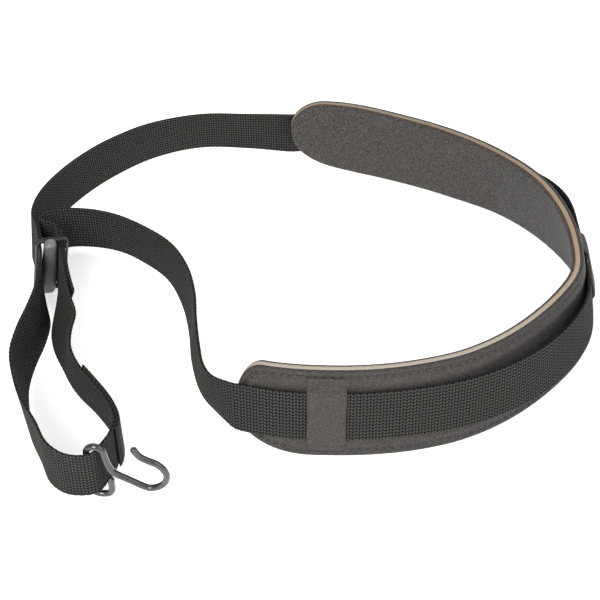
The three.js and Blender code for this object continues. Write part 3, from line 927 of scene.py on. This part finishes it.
def webbing_look():
    """Herringbone woven of black yarns: rows across the band whose slant turns with every chevron.
    Painted shade darkens the gaps between the yarns, and painted highlights lighten flecks on their
    crests.
    """
    look = Look("webbing_weave")
    parts = look.add("ShaderNodeSeparateXYZ", {"Vector": look.marks("weave")})
    along, across = parts.outputs["X"], parts.outputs["Y"]
    wobble = look.level(look.noise(look.marks("weave", (0.5, 0.8, 0)), 1.0, 2), -0.16, 0.16)
    turn = look.math("DIVIDE", look.math("ADD", along, wobble), CHEVRON)
    swing = look.math("PINGPONG", turn, 0.5)
    slant = look.math("MULTIPLY_ADD", swing, 4 * CHEVRON_RISE, -CHEVRON_RISE)
    line = look.math("DIVIDE", look.math("ADD", across, slant), WEB_WIDTH / BUNDLES)
    ridge = look.math("COSINE", look.math("MULTIPLY", line, 2 * math.pi))
    ridge = look.math("MULTIPLY_ADD", ridge, 0.5, 0.5)
    stroke = look.math("ABSOLUTE", look.math("SINE", look.math("MULTIPLY", turn, 2 * math.pi)))
    height = look.math("MULTIPLY", look.math("POWER", ridge, 0.75), look.math("POWER", stroke, 0.9))
    fibre = look.noise(look.marks("weave", (1.5, 9, 0)), 1.0, 4)
    fleck = look.noise(look.place(), 1.4, 3, 0.7)
    broad = look.noise(look.place(), 0.04, 3)
    # Painted shade: the ramp's near-black low end darkens the gaps of the weave.
    yarn_with_gap_shade = look.ramp(height, (0.22, (0.0015, 0.0015, 0.0015)), (0.8, (0.04, 0.038, 0.034)))
    wear_and_painted_light = look.blend(look.level(broad, 0.0, 0.2), yarn_with_gap_shade, (0.03, 0.026, 0.021, 1))
    # Painted highlight: pale flecks on the crests of the weave.
    crest_highlight = look.math("MULTIPLY", look.level(fleck, 0.0, 0.7), height)
    colour = look.blend(crest_highlight, wear_and_painted_light, (0.125, 0.12, 0.11, 1))
    rough = look.level(fibre, 0.65, 0.95)
    normal = look.bump(height, 0.9, 0.3)
    normal = look.bump(fibre, 0.5, 0.1, normal)
    return look.finish(colour, rough, normal, Specular_IOR_Level=0.12)


def leather_look(name, dark, light, grain, sheen, mottle):
    """Grained leather, with painted shade darkening its creases and its needle holes, speckled by
    mottle and pierced at its stitches.
    """
    look = Look(name)
    here = look.place()
    wobble = look.noise(here, 0.9, 2)
    moved = look.add("ShaderNodeVectorMath", operation="MULTIPLY_ADD")
    look.feed(moved.inputs[0], look.add("ShaderNodeCombineXYZ", {
        "X": wobble, "Y": wobble, "Z": wobble}).outputs[0])
    moved.inputs[1].default_value = (0.6, 0.5, 0.7)
    look.feed(moved.inputs[2], here)
    cells = look.add("ShaderNodeTexVoronoi", {"Vector": moved.outputs[0], "Scale": grain},
                     feature="DISTANCE_TO_EDGE").outputs["Distance"]
    pebble = look.add("ShaderNodeMapRange", {"Value": cells, "From Max": 0.32},
                      interpolation_type="SMOOTHSTEP").outputs["Result"]
    fine = look.noise(here, 1.6, 5, 0.75)
    broad = look.noise(here, 0.045, 4)
    base = look.blend(look.level(broad, 0.1, 0.9), (*dark, 1), (*light, 1))
    # Painted shade: the grain's creases are darkened.
    crease_shade = look.blend(look.level(pebble, 0.6, 0.0), base, (0.014, 0.0125, 0.012, 1))
    speck = look.ramp(fine, (0.48, (0, 0, 0)), (0.62, (1, 1, 1)))
    specked = look.blend(speck, crease_shade, look.blend(0.5 * mottle, crease_shade, (0.2, 0.185, 0.175, 1)))
    deep = look.ramp(fine, (0.38, (1, 1, 1)), (0.48, (0, 0, 0)))
    mottled = look.blend(look.math("MULTIPLY", deep, mottle), specked,
                         (0.01, 0.009, 0.0085, 1))
    # Painted shade: the needle holes marked on the mesh are darkened nearly to black.
    hole = look.add("ShaderNodeSeparateXYZ", {"Vector": look.marks("leather")}).outputs["Z"]
    colour = look.blend(look.math("MULTIPLY", hole, 0.92), mottled, (0.003, 0.003, 0.003, 1))
    rough = look.math("ADD", look.level(pebble, 0.62, 0.46), look.level(fine, 0.0, 0.12))
    normal = look.bump(pebble, 0.9, 0.16)
    normal = look.bump(fine, 0.9, 0.12, normal)
    return look.finish(colour, rough, normal, Specular_IOR_Level=sheen)


def core_look():
    """Raw fibrous edge, tan to cream along the pad, with a line of glue next to the lining."""
    look = Look("core_raw_edge")
    marks = look.add("ShaderNodeSeparateXYZ", {"Vector": look.marks("leather")})
    streak = look.noise(look.marks("leather", (0.2, 1, 5.5)), 1.0, 5, 0.7)
    fuzz = look.noise(look.place(), 2.4, 4, 0.7)
    along = look.math("DIVIDE", marks.outputs["X"], EDGE_FADE)
    base = look.ramp(along, (0.3, (0.22, 0.165, 0.105)), (0.72, (0.4, 0.35, 0.275)),
                     (0.52, (0.36, 0.24, 0.13)))
    streaked = look.blend(look.level(streak, 0.0, 0.4), base, (0.15, 0.1, 0.06, 1))
    fibred = look.blend(look.level(fuzz, 0.0, 0.3), streaked, look.blend(0.5, base, (1, 1, 1, 1)))
    from_lining = look.math("ADD", marks.outputs["Z"], CORE_HALF)
    glue = look.ramp(from_lining, (0.35, (1, 1, 1)), (0.75, (0, 0, 0)))
    colour = look.blend(glue, fibred, (0.12, 0.062, 0.028, 1))
    normal = look.bump(fuzz, 0.9, 0.25)
    normal = look.bump(streak, 0.6, 0.15, normal)
    return look.finish(colour, look.level(fuzz, 0.8, 0.98), normal, Specular_IOR_Level=0.2)


def thread_look():
    """Dark thread with the twist of its strands."""
    look = Look("thread_twist")
    parts = look.add("ShaderNodeSeparateXYZ", {"Vector": look.marks("thread")})
    turn = look.math("MULTIPLY", parts.outputs["X"], 9.0)
    twist = look.math("SINE", look.math("ADD", turn, parts.outputs["Y"]))
    strand = look.level(look.math("MULTIPLY_ADD", twist, 0.5, 0.5), 0.0, 1.0)
    fuzz = look.noise(look.place(), 6.0, 2)
    colour = look.blend(strand, (0.012, 0.011, 0.01, 1), (0.055, 0.05, 0.046, 1))
    normal = look.bump(strand, 0.8, 0.1)
    return look.finish(colour, look.level(fuzz, 0.55, 0.8), normal, Sheen_Weight=0.2)


def plastic_look(name, dark, light, rough, gloss):
    """Moulded plastic, lightly scratched, with painted highlights that make its sharp edges paler."""
    look = Look(name)
    here = look.place()
    fine = look.noise(here, 7.0, 3)
    broad = look.noise(here, 0.18, 3)
    scratch = look.noise(look.place((3.5, 3.5, 0.25)), 1.0, 5, 0.7)
    edge = look.add("ShaderNodeNewGeometry").outputs["Pointiness"]
    # Painted highlight: sharp edges, found by pointiness, are blended towards pale grey.
    wear_and_painted_light = look.ramp(edge, (0.52, (0, 0, 0)), (0.6, (1, 1, 1)))
    base = look.blend(look.level(broad, 0.0, 1.0), (*dark, 1), (*light, 1))
    base = look.blend(look.level(scratch, 0.0, 0.4), base, look.blend(0.5, base, (*light, 1)))
    colour = look.blend(wear_and_painted_light, base, look.blend(0.6, base, (0.2, 0.195, 0.19, 1)))
    normal = look.bump(fine, 0.25, 0.02)
    return look.finish(colour, look.level(scratch, rough, rough + 0.16), normal,
                       Specular_IOR_Level=gloss)


def wire_look():
    """Dark lacquered steel with small pits."""
    look = Look("hook_wire_finish")
    here = look.place()
    broad = look.noise(here, 0.22, 3)
    fine = look.noise(here, 4.5, 3)
    pits = look.noise(here, 1.4, 5, 0.7)
    base = look.blend(look.level(broad, 0.0, 1.0), (0.008, 0.0075, 0.0075, 1),
                      (0.022, 0.02, 0.0195, 1))
    colour = look.blend(look.level(pits, 0.0, 0.25), base, (0.1, 0.093, 0.09, 1))
    rough = look.level(fine, 0.14, 0.28)
    normal = look.bump(pits, 0.2, 0.04)
    return look.finish(colour, rough, normal, Metallic=0.35, Specular_IOR_Level=0.9,
                       Coat_Weight=0.5, Coat_Roughness=0.1)


def floor_look():
    look = Look("floor_paper")
    grain = look.noise(look.place(), 0.6, 3)
    colour = look.blend(look.level(grain, 0.0, 1.0), (0.9, 0.9, 0.9, 1), (0.92, 0.92, 0.92, 1))
    look.feed(look.shader.inputs["Emission Color"], colour)
    return look.finish(colour, look.level(grain, 0.85, 0.95), Specular_IOR_Level=0.1,
                       Emission_Strength=FLOOR_GLOW)


# Putting the pieces on the frame

def dress(made, look, body, slot, *nodes):
    """Gives a piece its material and its body, and hides the CAD nodes it stands for. The slot is not
    used.
    """
    made.data.materials.clear()
    made.data.materials.append(look)
    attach(made, body)
    if nodes:
        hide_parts(*nodes)


cover_leather = leather_look("cover_leather", (0.034, 0.029, 0.026), (0.058, 0.051, 0.046),
                             0.9, 0.3, 0.4)
lining_leather = leather_look("lining_leather", (0.034, 0.029, 0.0255), (0.056, 0.0485, 0.043),
                              1.0, 0.3, 1.0)
webbing_material = webbing_look()
thread_material = thread_look()

cover = make_cover()
dress(cover, cover_leather, "strap", "cover_leather", "pad_cover")
dress(make_core(), core_look(), "strap", "core_leather", "pad_core")
lining = make_lining()
dress(lining, lining_leather, "strap", "lining_leather", "pad_lining")
dress(make_seam(), thread_material, "strap", "thread", "seam_upper", "seam_lower")

for place in KEEPERS:
    dress(make_keeper(place), cover_leather, "strap", "cover_leather", f"keeper_{place}")
    dress(make_keeper_stitches(place), thread_material, "strap", "thread",
          f"keeper_{place}_seam_upper", f"keeper_{place}_seam_lower")

bar_plastic = plastic_look("slide_plastic", (0.12, 0.116, 0.11), (0.165, 0.16, 0.152), 0.3, 0.5)
# Painted shade: the frame is coloured near-black so that it reads as shadow round the bar.
frame_painted_shade = plastic_look("slide_frame_painted_shade", (0.004, 0.004, 0.004), (0.007, 0.007, 0.007),
                             0.7, 0.1)
dress(make_slide_bar(), bar_plastic, "slide", "plastic", "slide")
dress(make_slide_frame(), frame_painted_shade, "slide", "plastic")
dress(make_hook(), wire_look(), "hook", "wire", "hook")

dress(make_webbing(), webbing_material, "strap", "webbing",
      "webbing_pad_far", "webbing_pad_near", "webbing_far", "webbing_near", "webbing_loop")
overlap = make_layer("webbing_overlap_layer", OVERLAP_FROM, OVERLAP_TO, [OVERLAP_FROM, OVERLAP_TO])
dress(overlap, webbing_material, "strap", "webbing", "webbing_overlap")
tail_start = loop.length - TAIL_FROM
tail = make_layer("webbing_tail_end", tail_start, loop.length - TAIL_TO, [tail_start],
                  TAIL_CORNER, TAIL_FLARE)
dress(tail, webbing_material, "strap", "webbing", "webbing_tail")
dress(make_overlap_stitches(), thread_material, "strap", "thread")


# Camera, floor and light

def make_camera():
    camera = bpy.data.objects.new("camera", bpy.data.cameras.new("camera"))
    camera.location = placed(CAMERA_AT)
    camera.rotation_euler = (math.radians(90 - CAMERA_PITCH), 0, 0)
    camera.data.sensor_width = SENSOR
    camera.data.lens = LENS
    camera.data.clip_start = 0.01
    bpy.context.scene.collection.objects.link(camera)
    bpy.context.scene.camera = camera


def make_floor():
    corners = np.array([(-1, -1), (1, -1), (1, 1), (-1, 1)]) * FLOOR_HALF
    points = np.column_stack([corners, np.full(4, FOOTPRINT[2] - FLOOR_GAP)])
    floor = make_object("floor", points, np.array([[0, 1, 2, 3]]), {})
    floor.data.materials.append(floor_look())


def make_light(name, place, size, power):
    """A round soft lamp that looks at the middle of the floor."""
    lamp = bpy.data.lights.new(name, "AREA")
    lamp.shape = "DISK"
    lamp.size = size
    lamp.energy = power
    holder = bpy.data.objects.new(name, lamp)
    holder.location = place
    holder.rotation_euler = (-Vector(place)).to_track_quat("-Z", "Y").to_euler()
    bpy.context.scene.collection.objects.link(holder)


def make_world():
    world = bpy.data.worlds.new("studio")
    world.use_nodes = True
    sky = world.node_tree.nodes["Background"]
    sky.inputs["Color"].default_value = (1, 1, 1, 1)
    sky.inputs["Strength"].default_value = SKY
    bpy.context.scene.world = world


make_camera()
make_floor()
make_world()
for name, lamp in LAMPS.items():
    make_light(name, **lamp)
bpy.context.scene.view_settings.view_transform = "Standard"
